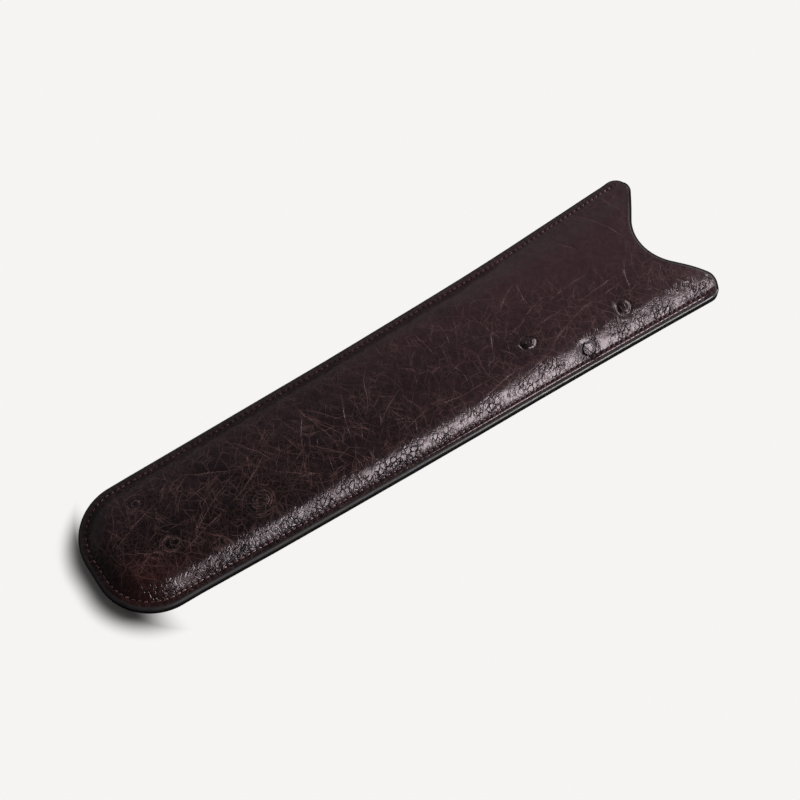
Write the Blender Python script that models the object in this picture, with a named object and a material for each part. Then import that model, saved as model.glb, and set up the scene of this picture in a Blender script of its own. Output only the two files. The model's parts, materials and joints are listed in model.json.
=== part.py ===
# A leather comb case: a flat sewn sleeve, narrow and round-cornered at its closed end,
# wider at its mouth, where a round scoop between two horns lets a thumb reach the comb.
#
# Metres, +Z up. The origin is under the middle of the case, on the surface it lies on.
# +X runs along the case towards the open mouth. In the plan functions below, x is measured
# from the closed end and y from the long centre line.
#
# From the bottom up, the case is a back leather, a stiffening board and a lining, a welt that
# runs round the closed sides, and a lining, a board and a front leather. One row of stitches
# holds the edge together. The leathers swell away from the welt to make room for the comb.

import math

import bpy
import numpy as np
from mathutils import Vector
from mathutils.geometry import delaunay_2d_cdt

# The outline
case_length = 0.180
closed_end_width = 0.0356
mouth_width = 0.0452
flare_curve_share = 0.475      # how much of the widening is left to the curved, last stretch
closed_corner_radius = 0.0147
horn_radius = 0.0037
horn_flank_angle = math.radians(49.52)   # the straight stretch inside a horn, off the centre line
scoop_radius = 0.0133

# The materials' thicknesses, and the gap that keeps two neighbours apart
leather_thickness = 0.0008
lining_thickness = 0.0003
board_thickness = 0.0003
welt_thickness = 0.0004
layer_gap = 0.0003

# The seam
seam_inset = 0.0019
seam_groove_half_width = 0.0006
seam_groove_depth = 0.0004
seam_end_margin = 0.0030       # from the tip of a horn back to the first stitch
seam_groove_run_out = 0.0010
welt_width = 0.0034
stitch_pitch = 0.0016
needle_dip_length = 0.0008     # the stretch of thread that dips at a needle hole
thread_width = 0.00046
thread_height = 0.00036
thread_dip = 0.00012           # how far the thread sinks at a needle hole
thread_seat_gap = 0.00027
hole_thread_share = 0.65       # what shows of the thread's thickness at a needle hole

# The swell of the two halves over the pocket
front_swell = 0.0023
back_swell = 0.0011
swell_width = 0.0076
board_step_width = 0.0020      # the leather climbs over the board's edge in this width
mouth_crease_inset = 0.0012
board_clearance = 0.0001

# The leather's worked edge
edge_round = 0.00045

# How finely the shapes are drawn
side_steps = 9
corner_steps = 7
horn_steps = 7
scoop_steps = 9
round_rail_shares = (0.293, 1.0)
step_rail_shares = (0.0, 0.25, 0.5, 0.75, 1.0)
swell_rail_shares = (0.0, 0.1, 0.26, 0.42, 0.66, 1.0)
mouth_rail_shares = (0.0, 0.5, 1.0)
overrun = 0.001

# Places that follow from the values above
swell_start = seam_inset + seam_groove_half_width
board_inset = swell_start + board_step_width + board_clearance
board_mouth_inset = mouth_crease_inset + board_step_width + board_clearance
board_step = board_thickness + layer_gap
horn_x = case_length - horn_radius
seam_end_x = case_length - seam_end_margin

# Heights of the pieces' undersides where they are pinched in the seam
back_leather_z = back_swell + board_step
back_lining_z = back_leather_z + leather_thickness + layer_gap
welt_z = back_lining_z + lining_thickness + layer_gap
front_lining_z = welt_z + welt_thickness + layer_gap
front_leather_z = front_lining_z + lining_thickness + layer_gap


def half_width(x):
    """Half the case's width at x. It widens a little faster towards the mouth."""
    along = x / case_length
    flare = (mouth_width - closed_end_width) / 2
    return closed_end_width / 2 + flare * along * (1 - flare_curve_share + flare_curve_share * along)


def side_slope(x):
    """The side's angle to the centre line at x."""
    flare = (mouth_width - closed_end_width) / 2
    along = x / case_length
    return math.atan(flare * (1 - flare_curve_share + 2 * flare_curve_share * along) / case_length)


def arc(centre, radius, start, end, steps):
    """Points on an arc from the angle start to the angle end, both included."""
    angles = np.linspace(start, end, steps + 1)
    return [(centre[0] + radius * math.cos(a), centre[1] + radius * math.sin(a)) for a in angles]


def side_rail(inset, stations):
    """The upper half of the line that runs at an inset from the sewn edge, mouth end first."""
    straight = [(x, half_width(x) - inset) for x in stations]
    centre = (closed_corner_radius, half_width(closed_corner_radius) - closed_corner_radius)
    square = math.pi / 2 + side_slope(closed_corner_radius)
    corner = arc(centre, closed_corner_radius - inset, square, math.pi, corner_steps)
    return straight + corner + [(inset, 0.0)]


def side_stations(last_x):
    """Places along a side, from last_x back to where the closed end's corner starts."""
    places = np.linspace(seam_end_x, closed_corner_radius, side_steps + 1)[:-1]
    tail = [x for x in (last_x, seam_end_x + seam_groove_run_out) if seam_end_x < x <= last_x]
    return tail + list(places)


def mouth_line(inset):
    """The upper half of the mouth's edge, moved inwards by inset, from the horn to the middle."""
    slope = side_slope(horn_x)
    turn = horn_flank_angle + math.pi / 2
    horn_y = half_width(horn_x) - horn_radius / math.cos(slope)
    scoop_x = horn_x - (scoop_radius + horn_radius - horn_y * math.sin(turn)) / math.cos(turn)
    tip_radius = max(horn_radius - inset, 0.0)
    horn = arc((horn_x, horn_y), tip_radius, math.pi / 2 + slope, turn - math.pi, horn_steps)
    scoop = arc((scoop_x, 0.0), scoop_radius + inset, turn, math.pi, scoop_steps)
    return horn + scoop


def mirrored(upper_half):
    """A line's upper half with its lower half. The last point lies on the centre line."""
    return upper_half + [(x, -y) for x, y in reversed(upper_half[:-1])]


def closed_line(upper_half):
    """A closed outline from its upper half, whose two ends lie on the centre line."""
    return upper_half + [(x, -y) for x, y in reversed(upper_half[1:-1])]


def stations_before(last_x):
    """Places along a side that lie short of last_x."""
    return [x for x in side_stations(seam_end_x) if x < last_x]


def case_outline(inset):
    """The closed outline of the whole case, moved inwards by less than the horns' radius."""
    side = side_rail(inset, stations_before(horn_x))
    return closed_line(list(reversed(side)) + mouth_line(inset))


def board_outline():
    """The board stops short of the seam and of the mouth's edge."""
    reach = [p for p in mouth_line(board_mouth_inset) if p[1] < half_width(p[0]) - board_inset]
    tip_x = corner_x(board_mouth_inset, board_inset)
    side = side_rail(board_inset, [tip_x] + stations_before(tip_x))
    return closed_line(list(reversed(side)) + reach)


def welt_outline():
    """A U-shaped strip as wide as the seam allowance, out to the tips of the horns."""
    side = side_rail(0.0, stations_before(horn_x))
    tip = [p for p in mouth_line(0.0) if p[1] > half_width(p[0]) - welt_width]
    outer = mirrored(list(reversed(tip)) + side)
    tip_x = corner_x(0.0, welt_width)
    inner = mirrored(side_rail(welt_width, [tip_x] + stations_before(tip_x)))
    return outer + list(reversed(inner))


def corner_x(mouth_inset, side_inset):
    """Where the mouth's edge, moved inwards, crosses a line that runs along the side."""
    line = mouth_line(mouth_inset)
    for (x0, y0), (x1, y1) in zip(line, line[1:]):
        over = y0 - half_width(x0) + side_inset
        under = y1 - half_width(x1) + side_inset
        if over >= 0 > under:
            return x0 + (x1 - x0) * over / (over - under)
    return case_length


def distance_to_side(x, y):
    """How far points lie inside the sewn edge: the two long sides and the closed end."""
    across = np.abs(y)
    centre_y = half_width(closed_corner_radius) - closed_corner_radius
    in_corner = (x < closed_corner_radius) & (across > centre_y)
    to_corner = closed_corner_radius - np.hypot(x - closed_corner_radius, across - centre_y)
    return np.where(in_corner, to_corner, np.minimum(half_width(x) - across, x))


def distance_to_mouth(x, y):
    """How far points lie from the mouth's edge."""
    line = np.array(mirrored(mouth_line(0.0)))
    start = line[:-1]
    run = line[1:] - start
    point = np.stack([x, y], axis=1)[:, None, :]
    share = ((point - start) * run).sum(axis=2) / (run ** 2).sum(axis=1)
    foot = start + np.clip(share, 0, 1)[:, :, None] * run
    return np.linalg.norm(point - foot, axis=2).min(axis=1)


def swell(x, y):
    """From 0 at the seam to 1 over the pocket: steep beside the seam, and level at its end."""
    across = np.clip((distance_to_side(x, y) - swell_start) / swell_width, 0, 1)
    return 1 - (1 - across) ** 3 * (1 + 3 * across)


def ease(distance, start):
    """From 0 at start to 1 past the board's edge, level at both ends."""
    across = np.clip((distance - start) / board_step_width, 0, 1)
    return across ** 2 * (3 - 2 * across)


def over_board(x, y):
    """1 where the board lies under the leather, 0 where the leather is pinched at an edge."""
    beside_seam = ease(distance_to_side(x, y), swell_start)
    beside_mouth = ease(distance_to_mouth(x, y), mouth_crease_inset)
    return beside_seam * beside_mouth


def worked_edge(x, y):
    """How far the leather's face drops at its rounded edge."""
    inside = np.minimum(distance_to_side(x, y), distance_to_mouth(x, y))
    short = np.clip(edge_round - inside, 0, edge_round)
    return edge_round - np.sqrt(edge_round ** 2 - short ** 2)


def seam_groove(x, y):
    """How far the thread draws the leather in along the seam."""
    off_line = np.abs(distance_to_side(x, y) - seam_inset)
    fade = np.clip((seam_end_x + seam_groove_run_out - x) / seam_groove_run_out, 0, 1)
    return seam_groove_depth * np.clip(1 - off_line / seam_groove_half_width, 0, 1) * fade


def forming_rails(insets):
    """Lines across a panel, at insets from its sewn edge, that carry its bends."""
    return [mirrored(side_rail(inset, side_stations(case_length + overrun))) for inset in insets]


def step_insets():
    """Where the leather climbs over the board's edge."""
    return [swell_start + share * board_step_width for share in step_rail_shares]


def swell_insets():
    """Where a panel swells over the pocket."""
    return [swell_start + share * swell_width for share in swell_rail_shares]


def leather_rails():
    """The lines that carry the bends of an outer leather."""
    groove = [seam_inset - seam_groove_half_width, seam_inset]
    past_step = [inset for inset in swell_insets() if inset > step_insets()[-1]]
    rails = forming_rails(groove + step_insets() + past_step)
    rails += [mirrored(mouth_line(mouth_crease_inset + share * board_step_width))
              for share in mouth_rail_shares]
    for share in round_rail_shares:
        ring = case_outline(share * edge_round)
        rails.append(ring + ring[:1])
    return rails


def plan_mesh(outline, rails):
    """Triangles that fill an outline and follow the rails across it."""
    points = [Vector(p) for p in outline]
    edges = []
    for rail in rails:
        first = len(points)
        points += [Vector(p) for p in rail]
        edges += [(first + i, first + i + 1) for i in range(len(rail) - 1)]
    face = [list(range(len(outline)))]
    inside_only = 1
    merge = layer_gap / 100
    plan = delaunay_2d_cdt(points, edges, face, inside_only, merge)
    corners = np.array([tuple(p) for p in plan[0]])
    triangles = []
    for a, b, c in plan[2]:
        ahead = corners[b] - corners[a]
        aside = corners[c] - corners[a]
        anticlockwise = ahead[0] * aside[1] > ahead[1] * aside[0]
        triangles.append((a, b, c) if anticlockwise else (a, c, b))
    return corners, triangles


def boundary(triangles):
    """The directed edges that only one triangle has."""
    sides = set()
    for a, b, c in triangles:
        sides |= {(a, b), (b, c), (c, a)}
    return sorted(side for side in sides if (side[1], side[0]) not in sides)


def sheet(name, look, base_z, outline, rails, lower, upper):
    """A closed sheet over an outline. lower and upper give its faces' heights above base_z."""
    corners, triangles = plan_mesh(outline, rails)
    used = sorted({corner for triangle in triangles for corner in triangle})
    order = {corner: i for i, corner in enumerate(used)}
    x, y = corners[used].T
    count = len(used)
    bottom = np.stack([x, y, lower(x, y) + 0 * x], axis=1)
    top = np.stack([x, y, upper(x, y) + 0 * x], axis=1)
    faces = []
    for a, b, c in triangles:
        a, b, c = order[a], order[b], order[c]
        faces.append((c, b, a))
        faces.append((a + count, b + count, c + count))
    for a, b in boundary(triangles):
        a, b = order[a], order[b]
        faces.append((a, b, b + count))
        faces.append((a, b + count, a + count))
    return piece(name, look, base_z, np.vstack([bottom, top]), faces)


def piece(name, look, base_z, points, faces):
    """A named object with its own material, carried by the case's empty."""
    mesh = bpy.data.meshes.new(name)
    mesh.from_pydata([tuple(p) for p in points], [], faces)
    mesh.shade_smooth()
    mesh.set_sharp_from_angle(angle=crease_angle)
    mesh.materials.append(material(name, *look))
    made = bpy.data.objects.new(name, mesh)
    bpy.context.scene.collection.objects.link(made)
    made.parent = case
    made.location = (-case_length / 2, 0, base_z)
    return made


def material(name, colour, roughness):
    made = bpy.data.materials.new(name)
    made.use_nodes = True
    shader = made.node_tree.nodes["Principled BSDF"]
    shader.inputs["Base Color"].default_value = (*colour, 1)
    shader.inputs["Roughness"].default_value = roughness
    shader.inputs["Metallic"].default_value = 0
    return made


def seam_thread(name, look, base_z, side):
    """One thread along the whole seam. It lies on the leather between two needle holes and dips
    into each hole. side is 1 for the thread that shows on the front and -1 on the back."""
    stations = np.linspace(seam_end_x, closed_corner_radius, side_steps * side_steps)[:-1]
    line = np.array(mirrored(side_rail(seam_inset, list(stations))))
    walked = np.concatenate([[0], np.cumsum(np.linalg.norm(np.diff(line, axis=0), axis=1))])
    count = round(walked[-1] / stitch_pitch)
    pitch = walked[-1] / count
    slant = needle_dip_length / 2
    rest = thread_seat_gap - seam_groove_depth + thread_height / 2
    rings = [(0.0, True)]
    for i in range(count):
        rings += [(i * pitch + slant, False), ((i + 1) * pitch - slant, False), ((i + 1) * pitch, True)]
    points = []
    for place, in_hole in rings:
        middle = along_line(line, walked, place)
        run = along_line(line, walked, place + slant) - along_line(line, walked, place - slant)
        size = hole_thread_share if in_hole else 1
        aside = np.array([-run[1], run[0]]) / np.linalg.norm(run) * size * thread_width / 2
        height = side * (rest - thread_dip * in_hole)
        rise = size * thread_height / 2
        points.append((*(middle - aside), height))
        points.append((*middle, height - rise))
        points.append((*(middle + aside), height))
        points.append((*middle, height + rise))
    faces = [(3, 2, 1, 0), tuple(range(len(points) - 4, len(points)))]
    for first in range(0, len(points) - 4, 4):
        for k in range(4):
            here, after = first + k, first + (k + 1) % 4
            faces.append((here, after, after + 4, here + 4))
    return piece(name, look, base_z, points, faces)


def along_line(line, walked, distance):
    """The point of a line at a distance along it."""
    return np.array([np.interp(distance, walked, line[:, k]) for k in range(2)])


# Colours from the photograph, as linear values, and roughness
ostrich_look = ((0.024, 0.013, 0.014), 0.38)
lining_look = ((0.016, 0.012, 0.012), 0.6)
board_look = ((0.12, 0.07, 0.045), 0.85)
welt_look = ((0.016, 0.011, 0.012), 0.55)
thread_look = ((0.075, 0.016, 0.018), 0.6)
crease_angle = math.radians(35)

for leftover in list(bpy.data.objects):
    bpy.data.objects.remove(leftover, do_unlink=True)

case = bpy.data.objects.new("comb_case", None)
bpy.context.scene.collection.objects.link(case)

# The front half, from the outside in
sheet("front_outer", ostrich_look, front_leather_z, case_outline(0.0), leather_rails(),
      lambda x, y: front_swell * swell(x, y) + board_step * over_board(x, y),
      lambda x, y: (leather_thickness + front_swell * swell(x, y) + board_step * over_board(x, y)
                    - worked_edge(x, y) - seam_groove(x, y)))

sheet("front_stiffener", board_look, front_leather_z, board_outline(), forming_rails(swell_insets()),
      lambda x, y: front_swell * swell(x, y),
      lambda x, y: front_swell * swell(x, y) + board_thickness)

sheet("front_lining", lining_look, front_lining_z, case_outline(0.0), forming_rails(swell_insets()),
      lambda x, y: front_swell * swell(x, y),
      lambda x, y: front_swell * swell(x, y) + lining_thickness)

# Between the halves, round the three sewn sides
sheet("welt", welt_look, welt_z, welt_outline(), [],
      lambda x, y: 0,
      lambda x, y: welt_thickness)

# The back half, from the inside out
sheet("back_lining", lining_look, back_lining_z, case_outline(0.0), forming_rails(swell_insets()),
      lambda x, y: -back_swell * swell(x, y),
      lambda x, y: lining_thickness - back_swell * swell(x, y))

sheet("back_stiffener", board_look, back_lining_z - layer_gap, board_outline(),
      forming_rails(swell_insets()),
      lambda x, y: -board_thickness - back_swell * swell(x, y),
      lambda x, y: -back_swell * swell(x, y))

sheet("back_outer", ostrich_look, back_leather_z, case_outline(0.0), leather_rails(),
      lambda x, y: (worked_edge(x, y) + seam_groove(x, y)
                    - back_swell * swell(x, y) - board_step * over_board(x, y)),
      lambda x, y: leather_thickness - back_swell * swell(x, y) - board_step * over_board(x, y))

# The seam's two threads, which lock in the needle holes
seam_thread("front_thread", thread_look, front_leather_z + leather_thickness, 1)
seam_thread("back_thread", thread_look, back_leather_z, -1)
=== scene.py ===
"""The looks of a leather comb case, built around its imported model.

Metres, +Z up. The case lies on its back with its open mouth towards +X. Plan x is measured
from the closed end and plan y from the long centre line, as in the model's own source, and
each finished mesh is moved so that the case's middle stands on the origin.
"""

import json
import math

import bpy
import numpy as np
from mathutils import Matrix, Vector
from mathutils.geometry import delaunay_2d_cdt

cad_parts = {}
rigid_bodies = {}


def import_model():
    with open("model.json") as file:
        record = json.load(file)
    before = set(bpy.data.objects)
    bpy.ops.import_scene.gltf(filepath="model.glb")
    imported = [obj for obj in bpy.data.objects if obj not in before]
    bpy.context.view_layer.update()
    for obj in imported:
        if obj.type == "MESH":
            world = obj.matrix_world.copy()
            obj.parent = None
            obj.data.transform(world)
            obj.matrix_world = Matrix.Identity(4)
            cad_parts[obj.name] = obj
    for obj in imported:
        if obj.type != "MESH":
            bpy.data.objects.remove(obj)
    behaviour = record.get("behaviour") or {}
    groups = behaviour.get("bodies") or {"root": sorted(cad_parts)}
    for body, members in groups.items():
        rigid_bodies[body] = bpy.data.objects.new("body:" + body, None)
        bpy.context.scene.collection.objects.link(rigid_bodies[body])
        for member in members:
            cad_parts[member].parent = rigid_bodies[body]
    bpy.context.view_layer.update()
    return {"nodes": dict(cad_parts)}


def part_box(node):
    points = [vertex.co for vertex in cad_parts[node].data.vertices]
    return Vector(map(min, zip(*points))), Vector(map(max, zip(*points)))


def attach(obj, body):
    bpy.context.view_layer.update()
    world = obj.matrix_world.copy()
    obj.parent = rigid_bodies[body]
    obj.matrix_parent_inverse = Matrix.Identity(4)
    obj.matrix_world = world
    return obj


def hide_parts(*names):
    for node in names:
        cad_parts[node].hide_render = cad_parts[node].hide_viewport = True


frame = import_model()

mm = 0.001

# The outline, as the model has it
case_length = 180.0 * mm
closed_end_width = 35.6 * mm
mouth_width = 45.2 * mm
flare = (mouth_width - closed_end_width) / 2
flare_curve_share = 0.475
closed_corner_radius = 14.7 * mm
horn_radius = 3.7 * mm
horn_flank_angle = math.radians(49.52)
scoop_radius = 13.3 * mm

# The seam, the layers and the swell over the pocket, as the model has them
seam_inset = 1.9 * mm
seam_end_x = case_length - 3.0 * mm
stitch_pitch = 1.6 * mm
swell_start = 2.5 * mm
swell_width = 7.6 * mm
front_swell = 2.3 * mm
back_swell = 1.1 * mm
board_step = 0.6 * mm
board_step_width = 2.0 * mm
mouth_crease_inset = 1.2 * mm
leather_thickness = 0.8 * mm
lining_thickness = 0.3 * mm
welt_width = 3.4 * mm

# The worn front: the soft roll beside the seam, the pressed margin and the rounded edge
roll_start = 1.70 * mm
roll_start_growth = 0.6 * mm
roll_width = 6.0 * mm
roll_width_growth = 2.9 * mm
roll_rise = 2.9 * mm
roll_rise_growth = 0.3 * mm
roll_growth_start = 95 * mm
roll_growth_length = 50 * mm
roll_below_seam = 0.90 * mm
mouth_drop = 0.22 * mm
margin_press = 0.55 * mm
margin_press_fade = 1.5 * mm
lining_press_share = 0.5
crown_width = 17.0 * mm
mouth_roll_start = 0.2 * mm
mouth_roll_width = 6.5 * mm
edge_round = 0.42 * mm
mouth_rounding = 0.33 * mm
mouth_rounding_width = 2.0 * mm

# Heights where the layers are pinched in the seam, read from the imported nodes
front_leather_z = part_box("front_outer")[0].z
front_lining_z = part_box("front_lining")[0].z
welt_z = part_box("welt")[0].z
welt_top_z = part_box("welt")[1].z
back_lining_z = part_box("back_lining")[1].z - lining_thickness
back_leather_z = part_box("back_outer")[1].z - leather_thickness

horn_x = case_length - horn_radius


# Plan shapes

def half_width(x):
    """Half the case's width at x. It widens a little faster towards the mouth."""
    along = x / case_length
    return closed_end_width / 2 + flare * along * (1 - flare_curve_share + flare_curve_share * along)


def side_slope(x):
    """The side's angle to the centre line at x."""
    along = x / case_length
    return math.atan(flare * (1 - flare_curve_share + 2 * flare_curve_share * along) / case_length)


def arc(centre, radius, start, end, steps):
    angles = np.linspace(start, end, steps + 1)
    return np.stack([centre[0] + radius * np.cos(angles), centre[1] + radius * np.sin(angles)], axis=1)


def side_half(inset, last_x, step):
    """The upper half of a line inside the sewn edge, from last_x round to the closed end's middle."""
    x = np.linspace(last_x, closed_corner_radius, max(2, round((last_x - closed_corner_radius) / step)))
    side = np.stack([x, half_width(x) - inset], axis=1)
    centre = (closed_corner_radius, half_width(closed_corner_radius) - closed_corner_radius)
    square = math.pi / 2 + side_slope(closed_corner_radius)
    steps = max(8, round(closed_corner_radius * math.pi / 2 / step))
    corner = arc(centre, closed_corner_radius - inset, square, math.pi, steps)
    return np.vstack([side, corner[1:], [(inset, 0.0)]])


def mouth_half(step):
    """The upper half of the mouth's edge, from the horn to the scoop's middle."""
    slope = side_slope(horn_x)
    turn = horn_flank_angle + math.pi / 2
    horn_y = half_width(horn_x) - horn_radius / math.cos(slope)
    scoop_x = horn_x - (scoop_radius + horn_radius - horn_y * math.sin(turn)) / math.cos(turn)
    steps = max(8, round(horn_radius * 2 / step))
    horn = arc((horn_x, horn_y), horn_radius, math.pi / 2 + slope, turn - math.pi, steps)
    scoop = arc((scoop_x, 0.0), scoop_radius, turn, math.pi, 2 * steps)
    return np.vstack([horn, scoop])


def mirrored(half):
    """A line's upper half with its lower half. The last point lies on the centre line."""
    return np.vstack([half, half[-2::-1] * (1, -1)])


def walked_along(line):
    return np.concatenate([[0], np.cumsum(np.linalg.norm(np.diff(line, axis=0), axis=1))])


def resampled(line, step):
    """A line's points, evenly spaced."""
    walked = walked_along(line)
    places = np.linspace(0, walked[-1], max(3, round(walked[-1] / step)) + 1)
    return np.stack([np.interp(places, walked, line[:, k]) for k in range(2)], axis=1)


def inward(closed):
    """Unit normals of a closed anticlockwise line, to its inside."""
    ahead = np.roll(closed, -1, axis=0) - np.roll(closed, 1, axis=0)
    ahead /= np.linalg.norm(ahead, axis=1)[:, None]
    return np.stack([-ahead[:, 1], ahead[:, 0]], axis=1)


fine_step = 0.05 * mm


def fine_outline():
    """The case's outline as one closed anticlockwise line, finely drawn, without a repeated end."""
    mouth = mouth_half(fine_step)
    side = side_half(0.0, mouth[0, 0] - fine_step, fine_step)
    upper = np.vstack([mouth[::-1], side])
    closed = np.vstack([upper, upper[-2:0:-1] * (1, -1)])
    line = resampled(np.vstack([closed, closed[:1]]), fine_step)
    return line[:-1]


outline_line = fine_outline()
outline_inward = inward(outline_line)
mouth_line = mirrored(mouth_half(0.6 * mm))


def ring(inset, step):
    """The outline moved inwards by an inset, as a closed line without a repeated end."""
    line = outline_line + inset * outline_inward
    return resampled(np.vstack([line, line[:1]]), step)[:-1]


def distance_to_side(x, y):
    """How far points lie inside the sewn edge: the two long sides and the closed end."""
    across = np.abs(y)
    centre_y = half_width(closed_corner_radius) - closed_corner_radius
    in_corner = (x < closed_corner_radius) & (across > centre_y)
    to_corner = closed_corner_radius - np.hypot(x - closed_corner_radius, across - centre_y)
    return np.where(in_corner, to_corner, np.minimum(half_width(x) - across, x))


def nearest_on(line, x, y, reach):
    """Distance to a line and the length walked along it, for points within reach of it."""
    start = line[:-1]
    run = np.diff(line, axis=0)
    length = np.linalg.norm(run, axis=1)
    walked = walked_along(line)
    gap = np.full(len(x), reach)
    place = np.zeros(len(x))
    chunk = 4000
    for first in range(0, len(x), chunk):
        point = np.stack([x[first:first + chunk], y[first:first + chunk]], axis=1)
        low = point.min(axis=0) - reach
        high = point.max(axis=0) + reach
        close = (np.maximum(start, line[1:]) >= low) & (np.minimum(start, line[1:]) <= high)
        close = close.all(axis=1)
        if not close.any():
            continue
        a, d, size = start[close], run[close], length[close]
        share = np.clip(((point[:, None, :] - a) * d).sum(axis=2) / size ** 2, 0, 1)
        off = np.linalg.norm(point[:, None, :] - a - share[:, :, None] * d, axis=2)
        best = off.argmin(axis=1)
        rows = np.arange(len(point))
        found = off[rows, best]
        gap[first:first + chunk] = np.minimum(found, reach)
        place[first:first + chunk] = walked[:-1][close][best] + share[rows, best] * size[best]
    return gap, place


def distance_to_mouth(x, y):
    return nearest_on(mouth_line, x, y, case_length)[0]


def inside_of(x, y):
    """How far points lie inside the whole outline."""
    return np.minimum(distance_to_side(x, y), distance_to_mouth(x, y))


def ease(distance, start, width):
    """A smooth step from 0 at start to 1 a width further."""
    across = np.clip((distance - start) / width, 0, 1)
    return across ** 2 * (3 - 2 * across)


def swell(x, y):
    """From 0 at the seam to 1 over the pocket."""
    across = np.clip((distance_to_side(x, y) - swell_start) / swell_width, 0, 1)
    return 1 - (1 - across) ** 3 * (1 + 3 * across)


def towards_mouth(x):
    """From 0 to 1 where the roll beside the seam grows towards the mouth."""
    return ease(x, roll_growth_start, roll_growth_length)


def face_rise(x, y):
    """How far the outer face stands above the pinched leather, without its relief. It is pressed down
    at the seam and rolls up inside it in one even curve onto a slightly crowned middle."""
    inside = distance_to_side(x, y)
    growing = towards_mouth(x)
    start = roll_start + roll_start_growth * growing
    roll_height = roll_rise + roll_rise_growth * growing
    across = np.clip((inside - start) / (roll_width + roll_width_growth * growing), 0, 1)
    roll = 1 - (1 - across) ** 2
    crown_height = front_swell + board_step + roll_below_seam - roll_height
    crown = 1 - (1 - np.clip((inside - start) / crown_width, 0, 1)) ** 2
    at_mouth = ease(distance_to_mouth(x, y), mouth_roll_start, mouth_roll_width)
    return roll_height * roll + crown_height * crown - roll_below_seam - mouth_drop * roll * (1 - at_mouth)


def over_board(x, y):
    """1 where the board lies under the leather, 0 where the leather is pinched at an edge."""
    beside_seam = ease(distance_to_side(x, y), swell_start, board_step_width)
    beside_mouth = ease(distance_to_mouth(x, y), mouth_crease_inset, board_step_width)
    return beside_seam * beside_mouth


# How the worn case has sprung at its upper horn and is pressed in at its closed end
horn_lift = 1.9 * mm
horn_flare = 0.6 * mm
spring_start_x = 115 * mm
spring_length = 62 * mm
spring_start_y = 6 * mm
spring_width = 13 * mm
lift_inset = 1.5 * mm
front_lift_width = 5.5 * mm
back_lift_width = 3.0 * mm
closed_end_press = 0.6 * mm
press_length = 30 * mm

# How much wider than its plain solids the worn case is on each side, and how far its middle line
# leans over, at places along it, in millimetres
worn_places = [0, 20, 40, 60, 80, 100, 120, 140, 160, 180]
worn_width = [0.10, 0.12, 0.30, 0.33, 0.28, 0.28, 0.18, 0.0, -0.12, -0.05]
worn_lean = [0.65, 0.62, 0.28, 0.07, -0.10, -0.08, 0.02, -0.05, -0.08, -0.03]


def sprung(x, y, front_half):
    """How far the worn case has moved along and across, and up beside the seam of its upper horn."""
    share = ease(x, spring_start_x, spring_length) * ease(y, spring_start_y, spring_width)
    lift_width = front_lift_width if front_half else back_lift_width
    beside_seam = 1 - ease(distance_to_side(x, y), lift_inset, lift_width)
    along = closed_end_press * (1 - ease(x, 0.0, press_length))
    wider = np.interp(x / mm, worn_places, worn_width) * y / half_width(x)
    aside = np.interp(x / mm, worn_places, worn_lean) + wider
    return along, horn_flare * share + aside * mm, horn_lift * share * beside_seam


def edge_drop(x, y):
    """How far the leather's face drops at its rounded edge, which is turned in more at the mouth."""
    at_mouth = ease(distance_to_side(x, y), mouth_roll_start, mouth_rounding_width)
    rounding = edge_round + mouth_rounding * at_mouth
    short = np.clip(rounding - inside_of(x, y), 0, rounding)
    return rounding - np.sqrt(rounding ** 2 - short ** 2)


# Relief of the leather's face

ridge_inset = 1.34 * mm
ridge_height = 0.26 * mm
ridge_width = 0.40 * mm
ridge_end = 3.0 * mm
ridge_growth_start = 55 * mm
ridge_growth_length = 65 * mm
groove_depth = 0.12 * mm
groove_width = 0.30 * mm
needle_hole_depth = 0.10 * mm
needle_hole_radius = 0.24 * mm
pucker_height = 0.03 * mm
pucker_inset = 0.8 * mm
pucker_width = 0.4 * mm
seam_run_out = 0.8 * mm
seam_reach = 2.2 * mm

# Quill follicles: place, radius, height of the flat dome, depth of the ditch round it, height of the
# rim, depth of the rings
quills = [
    (124.8, -7.9, 1.9, 0.24, 0.20, 0.00, 0.05),
    (137.8, -17.1, 1.9, 0.05, 0.42, 0.12, 0.01),
    (152.7, -12.9, 1.9, 0.28, 0.26, 0.00, 0.01),
    (43.4, -7.4, 2.2, 0.04, 0.05, 0.03, 0.035),
    (20.2, -5.6, 1.8, 0.04, 0.05, 0.03, 0.03),
    (17.4, 8.6, 1.3, 0.04, 0.05, 0.03, 0.02),
]
quill_point_pitch = 0.15 * mm
quill_point_reach = 1.45

# Rings of creases round the quills: the quill's place in the list, the rings' radii, and the strength
quill_rings = [
    (0, (2.4, 3.1), 0.45), (1, (2.6,), 0.35), (2, (2.3, 2.9), 0.45), (3, (0.9, 1.5, 2.1, 2.8, 3.5, 4.3), 1.1),
    (4, (0.8, 1.4, 2.0, 2.7), 1.0), (5, (0.8, 1.3, 1.9, 2.6), 0.9),
]

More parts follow.
